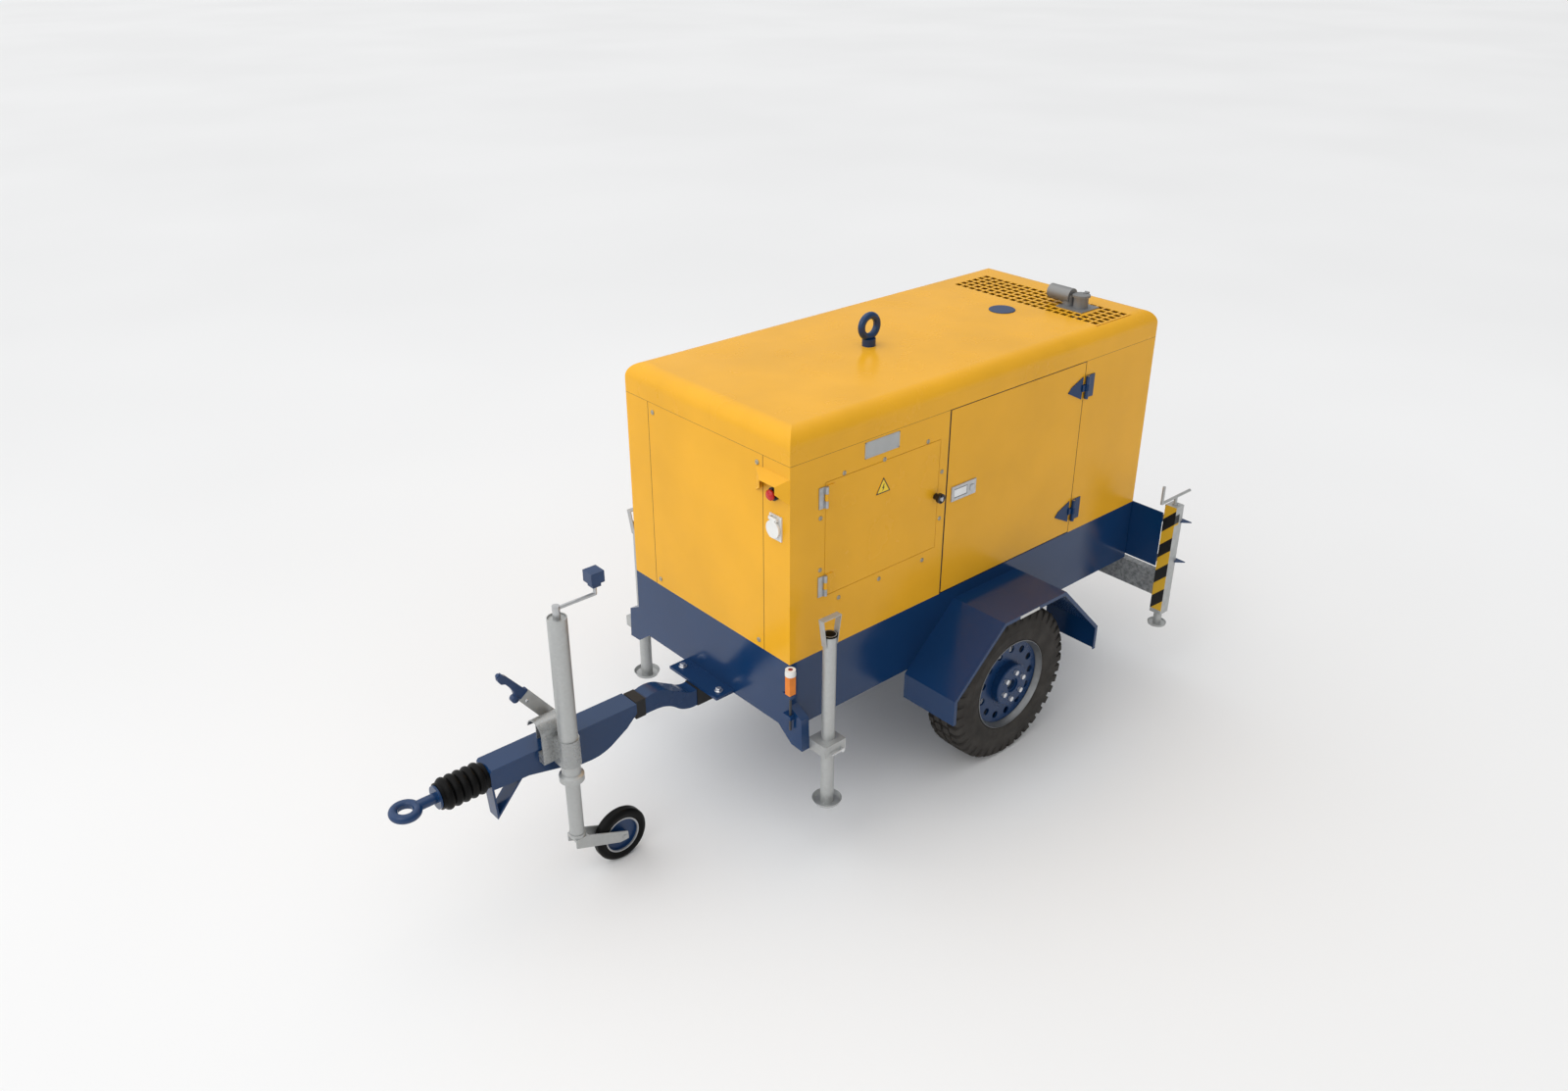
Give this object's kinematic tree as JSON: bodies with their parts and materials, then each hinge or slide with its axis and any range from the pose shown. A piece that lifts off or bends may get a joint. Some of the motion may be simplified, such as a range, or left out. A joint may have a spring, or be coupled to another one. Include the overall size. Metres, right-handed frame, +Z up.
{
  "type": "towable generator",
  "caption": "Canopied diesel generator on a road trailer with fenders, an overrun drawbar and tow eye, a jockey wheel, drop-down stands and hinged side doors.",
  "frame": {"origin": "on the ground, under the centre of the whole trailer's bounding box", "axes": "+Z up, -X the way it is towed (the drawbar points that way), -Y the control side"},
  "size_m": [3.6849, 1.534, 1.886],
  "materials": {
    "alloy": "sand cast",
    "black_plastic": "satin",
    "black_rubber": "matt",
    "blank_label": "satin",
    "blue_paint": "satin paint",
    "galvanised": "galvanised",
    "grey_casting": "painted casting",
    "orange_plastic": "satin",
    "red_plastic": "gloss",
    "tyre_rubber": "matt",
    "white_plastic": "satin",
    "yellow_paint": "satin powder coat",
    "zinc_plate": "zinc plated"
  },
  "bodies": {
    "trailer_frame": {"chassis_frame": "blue_paint", "rear_crossmember": "blue_paint", "axle_beam": "galvanised", "fenders": "blue_paint", "drawbar_arm": "blue_paint", "overrun_housing": "blue_paint", "bellows": "black_rubber", "jockey_clamp": "galvanised", "jockey_tube": "galvanised", "stand_clamps": "galvanised", "rear_stand_frame": "galvanised", "canopy_walls": "yellow_paint", "roof_cap": "yellow_paint", "lifting_eye": "blue_paint", "exhaust": "galvanised", "hinge_leaves": "blue_paint", "estop_hood": "yellow_paint", "socket_plate": "white_plastic", "fasteners": "zinc_plate", "signs": "blank_label", "engine_block": "grey_casting", "alternator": "alloy", "fan_belt": "black_rubber", "radiator": "alloy", "fuel_tank": "black_plastic", "battery": "black_plastic", "control_panel": "black_plastic"},
    "coupling": {"tow_eye": "blue_paint"},
    "brake_lever": {"handbrake_lever": "galvanised"},
    "brake_button": {"handbrake_button": "blue_paint"},
    "jockey_mast": {"jockey_inner_tube": "galvanised"},
    "jockey_screw": {"jockey_crank": "galvanised"},
    "jockey_swivel": {"jockey_fork": "galvanised"},
    "jockey_roller": {"jockey_tyre": "tyre_rubber", "jockey_wheel": "blue_paint"},
    "left_road_wheel": {"left_tyre": "tyre_rubber", "left_wheel": "blue_paint"},
    "right_road_wheel": {"right_tyre": "tyre_rubber", "right_wheel": "blue_paint"},
    "control_door": {"control_door": "yellow_paint"},
    "control_latch": {"control_latch": "black_plastic"},
    "left_door": {"left_service_door": "yellow_paint"},
    "left_handle": {"left_door_handle": "zinc_plate"},
    "right_door": {"right_service_door": "yellow_paint"},
    "right_handle": {"right_door_handle": "zinc_plate"},
    "estop": {"estop_button": "red_plastic"},
    "socket_lid": {"socket_lid": "white_plastic"},
    "rain_cap": {"rain_cap": "galvanised"},
    "filler_cap": {"filler_cap": "blue_paint"},
    "left_front_leg": {"left_front_leg": "galvanised"},
    "right_front_leg": {"right_front_leg": "galvanised"},
    "left_clamp_lever": {"left_clamp_lever": "zinc_plate"},
    "right_clamp_lever": {"right_clamp_lever": "zinc_plate"},
    "left_rear_leg": {"left_rear_leg": "galvanised"},
    "right_rear_leg": {"right_rear_leg": "galvanised"},
    "left_rear_crank": {"left_rear_crank": "galvanised"},
    "right_rear_crank": {"right_rear_crank": "galvanised"},
    "earth_rod": {"earth_rod": "orange_plastic"},
    "crankshaft": {"crankshaft": "zinc_plate"},
    "fan": {"cooling_fan": "black_plastic"}
  },
  "joints": [
    {"name": "overrun_slide", "type": "slide", "parent": "trailer_frame", "child": "coupling", "axis": [1, 0, 0], "range_m": [0, 0.07], "deforming": ["bellows"]},
    {"name": "handbrake_swing", "type": "hinge", "parent": "trailer_frame", "child": "brake_lever", "pos_m": [-1.1665, 0.034, 0.655], "axis": [0, 1, 0], "range_deg": [-35, 30]},
    {"name": "handbrake_release", "type": "slide", "parent": "brake_lever", "child": "brake_button", "axis": [0.6018, 0, -0.7986], "range_m": [0, 0.008], "stiffness_N_per_m": 400},
    {"name": "jockey_crank_turn", "type": "hinge", "parent": "trailer_frame", "child": "jockey_screw", "pos_m": [-1.1945, -0.125, 1.161], "axis": [0, 0, 1], "continuous": true},
    {"name": "jockey_lift", "type": "slide", "parent": "trailer_frame", "child": "jockey_mast", "axis": [0, 0, 1], "range_m": [-0.12, 0.22]},
    {"name": "jockey_steer", "type": "hinge", "parent": "jockey_mast", "child": "jockey_swivel", "pos_m": [-1.1945, -0.125, 0.215], "axis": [0, 0, 1], "continuous": true},
    {"name": "jockey_wheel_spin", "type": "hinge", "parent": "jockey_swivel", "child": "jockey_roller", "pos_m": [-1.0075, -0.125, 0.112], "axis": [0, 1, 0], "continuous": true},
    {"name": "left_wheel_spin", "type": "hinge", "parent": "trailer_frame", "child": "left_road_wheel", "pos_m": [0.6475, -0.595, 0.354], "axis": [0, 1, 0], "continuous": true},
    {"name": "right_wheel_spin", "type": "hinge", "parent": "trailer_frame", "child": "right_road_wheel", "pos_m": [0.6475, 0.595, 0.354], "axis": [0, 1, 0], "continuous": true},
    {"name": "control_door_swing", "type": "hinge", "parent": "trailer_frame", "child": "control_door", "pos_m": [-0.2795, -0.4959, 1.287], "axis": [0, 0, -1], "range_deg": [0, 95]},
    {"name": "control_latch_turn", "type": "hinge", "parent": "control_door", "child": "control_latch", "pos_m": [0.3045, -0.4885, 1.283], "axis": [0, -1, 0], "range_deg": [0, 90]},
    {"name": "left_door_swing", "type": "hinge", "parent": "trailer_frame", "child": "left_door", "pos_m": [1.2105, -0.498, 1.225], "axis": [0, 0, 1], "range_deg": [0, 110]},
    {"name": "left_handle_lift", "type": "hinge", "parent": "left_door", "child": "left_handle", "pos_m": [0.4485, -0.4915, 1.276], "axis": [-1, 0, 0], "range_deg": [0, 35], "stiffness_Nm_per_rad": 0.6, "springref_deg": -8.59},
    {"name": "right_door_swing", "type": "hinge", "parent": "trailer_frame", "child": "right_door", "pos_m": [1.2105, 0.498, 1.225], "axis": [0, 0, -1], "range_deg": [0, 110]},
    {"name": "right_handle_lift", "type": "hinge", "parent": "right_door", "child": "right_handle", "pos_m": [0.4485, 0.4915, 1.276], "axis": [1, 0, 0], "range_deg": [0, 35], "stiffness_Nm_per_rad": 0.6, "springref_deg": -8.59},
    {"name": "estop_press", "type": "slide", "parent": "trailer_frame", "child": "estop", "axis": [1, 0, 0], "range_m": [0, 0.005], "stiffness_N_per_m": 800},
    {"name": "socket_lid_open", "type": "hinge", "parent": "trailer_frame", "child": "socket_lid", "pos_m": [-0.4635, -0.416, 1.409], "axis": [0, 1, 0], "range_deg": [0, 95], "stiffness_Nm_per_rad": 0.6, "springref_deg": -17.19},
    {"name": "rain_cap_lift", "type": "hinge", "parent": "trailer_frame", "child": "rain_cap", "pos_m": [1.4855, -0.25, 1.8114], "axis": [0, 1, 0], "range_deg": [0, 70]},
    {"name": "filler_cap_lift", "type": "slide", "parent": "trailer_frame", "child": "filler_cap", "axis": [0, 0, 1], "range_m": [0, 0.06]},
    {"name": "left_front_leg_slide", "type": "slide", "parent": "trailer_frame", "child": "left_front_leg", "axis": [0, 0, 1], "range_m": [-0.205, 0.22]},
    {"name": "left_clamp_turn", "type": "hinge", "parent": "trailer_frame", "child": "left_clamp_lever", "pos_m": [-0.3305, -0.653, 0.478], "axis": [0, 1, 0], "range_deg": [-100, 100]},
    {"name": "left_rear_crank_turn", "type": "hinge", "parent": "trailer_frame", "child": "left_rear_crank", "pos_m": [1.7325, -0.685, 0.905], "axis": [0, 0, 1], "continuous": true},
    {"name": "left_rear_leg_slide", "type": "slide", "parent": "trailer_frame", "child": "left_rear_leg", "axis": [0, 0, 1], "range_m": [-0.23, 0.05]},
    {"name": "right_front_leg_slide", "type": "slide", "parent": "trailer_frame", "child": "right_front_leg", "axis": [0, 0, 1], "range_m": [-0.205, 0.22]},
    {"name": "right_clamp_turn", "type": "hinge", "parent": "trailer_frame", "child": "right_clamp_lever", "pos_m": [-0.3305, 0.653, 0.478], "axis": [0, 1, 0], "range_deg": [-100, 100]},
    {"name": "right_rear_crank_turn", "type": "hinge", "parent": "trailer_frame", "child": "right_rear_crank", "pos_m": [1.7325, 0.685, 0.905], "axis": [0, 0, 1], "continuous": true},
    {"name": "right_rear_leg_slide", "type": "slide", "parent": "trailer_frame", "child": "right_rear_leg", "axis": [0, 0, 1], "range_m": [-0.23, 0.05]},
    {"name": "earth_rod_lift", "type": "slide", "parent": "trailer_frame", "child": "earth_rod", "axis": [0, 0, 1], "range_m": [0, 0.25]},
    {"name": "crankshaft_turn", "type": "hinge", "parent": "trailer_frame", "child": "crankshaft", "pos_m": [0.5525, 0, 1.01], "axis": [1, 0, 0], "continuous": true},
    {"name": "fan_turn", "type": "hinge", "parent": "trailer_frame", "child": "fan", "pos_m": [1.1725, 0, 1.2], "axis": [1, 0, 0], "continuous": true}
  ],
  "couplings": [
    {"joint": "fan_turn", "follows": "crankshaft_turn", "ratio": 1.4141}
  ]
}
